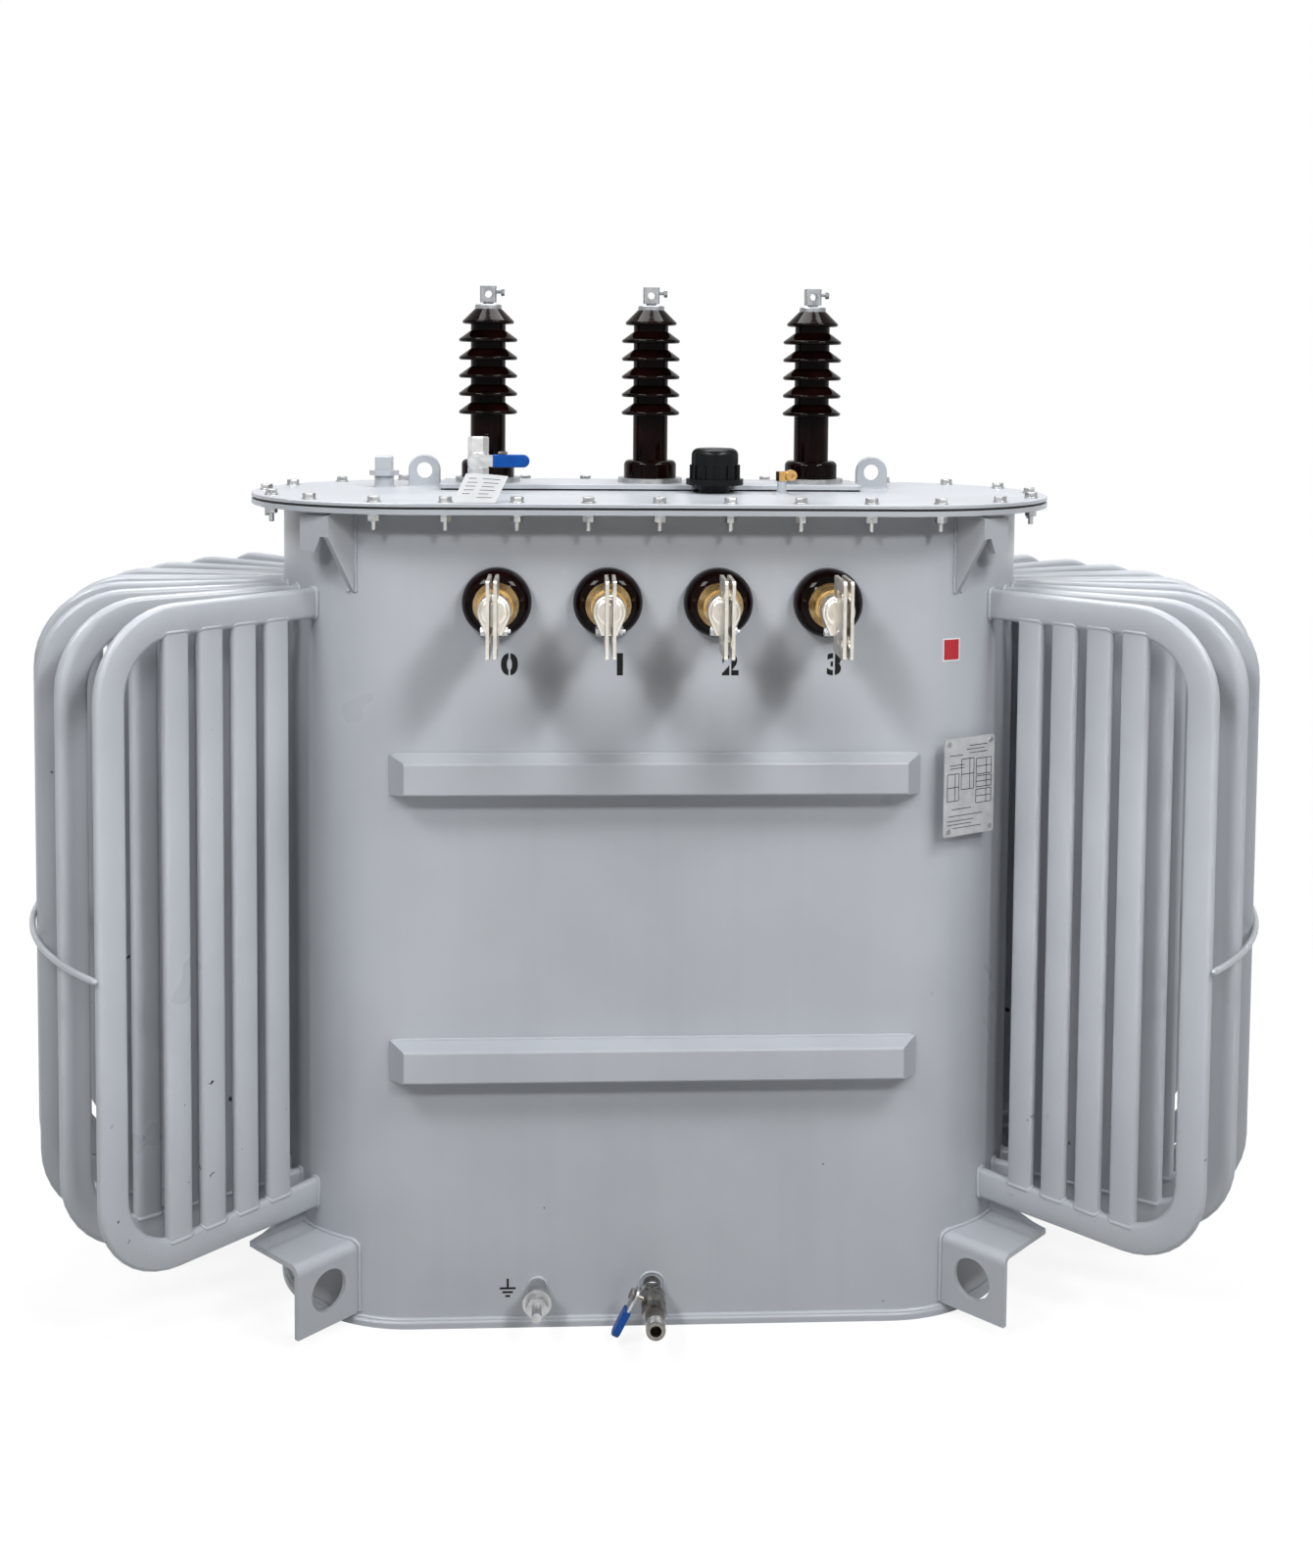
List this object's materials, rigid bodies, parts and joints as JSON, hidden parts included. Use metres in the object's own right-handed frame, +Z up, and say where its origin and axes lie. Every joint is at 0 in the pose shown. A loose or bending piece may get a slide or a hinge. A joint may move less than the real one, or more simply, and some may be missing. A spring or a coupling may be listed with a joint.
{
  "type": "oil-filled power transformer",
  "caption": "Oval grey oil-filled distribution transformer with tube coolers at both ends, porcelain bushings on cover and front wall, and two ball valves with levers.",
  "frame": {"origin": "centre of the overall box at ground level", "axes": "+X to the right along the tank, +Y to the back, +Z up; the low voltage side faces -Y"},
  "size_m": [2.0719, 0.9294, 1.698],
  "materials": {
    "tank_paint": "semi-gloss grey enamel",
    "gasket_rubber": "matt",
    "porcelain": "glazed brown porcelain",
    "zinc_steel": "zinc plated",
    "tinned_brass": "tinned",
    "brass": "machined",
    "cap_plastic": "moulded black",
    "grip_vinyl": "dipped blue vinyl",
    "plate_steel": "brushed"
  },
  "bodies": {
    "transformer": {"cooler_left_back": "tank_paint", "cooler_left_front": "tank_paint", "cooler_left_middle": "tank_paint", "cooler_right_back": "tank_paint", "cooler_right_front": "tank_paint", "cooler_right_middle": "tank_paint", "cover_eyes": "tank_paint", "cover_gasket": "gasket_rubber", "cover_plate": "tank_paint", "drain_valve_body": "zinc_steel", "earth_terminal": "zinc_steel", "filler_plug": "tank_paint", "foot_back_left": "tank_paint", "foot_back_right": "tank_paint", "foot_front_left": "tank_paint", "foot_front_right": "tank_paint", "hv_collars": "zinc_steel", "hv_pad": "tank_paint", "hv_pad_gasket": "gasket_rubber", "hv_porcelains": "porcelain", "hv_terminals": "tinned_brass", "lifting_lugs": "tank_paint", "lv_collars": "brass", "lv_porcelains": "porcelain", "lv_terminal_1": "tinned_brass", "lv_terminal_2": "tinned_brass", "lv_terminal_3": "tinned_brass", "lv_terminal_4": "tinned_brass", "nameplate": "plate_steel", "nameplate_bracket": "tank_paint", "relief_fitting": "brass", "relief_nipple": "tank_paint", "stiffeners": "tank_paint", "tank_back_wall": "tank_paint", "tank_bottom": "tank_paint", "tank_front_wall": "tank_paint", "tank_left_end_back": "tank_paint", "tank_left_end_front": "tank_paint", "tank_right_end_back": "tank_paint", "tank_right_end_front": "tank_paint", "tap_changer_cap": "cap_plastic", "tie_rod_left": "tank_paint", "tie_rod_right": "tank_paint", "top_flange": "tank_paint", "upper_valve_body": "zinc_steel"},
    "upper_lever": {"upper_valve_lever": "zinc_steel", "upper_valve_grip": "grip_vinyl"},
    "drain_lever": {"drain_valve_lever": "zinc_steel", "drain_valve_grip": "grip_vinyl"}
  },
  "joints": [
    {"name": "upper_valve_turn", "type": "hinge", "parent": "transformer", "child": "upper_lever", "pos_m": [-0.2975, -0.038, 1.399], "axis": [0, -1, 0], "range_deg": [0, 90]},
    {"name": "drain_valve_turn", "type": "hinge", "parent": "transformer", "child": "drain_lever", "pos_m": [-0.02862, -0.296, 0.07807], "axis": [-0.891, 0, 0.454], "range_deg": [0, 90]}
  ]
}
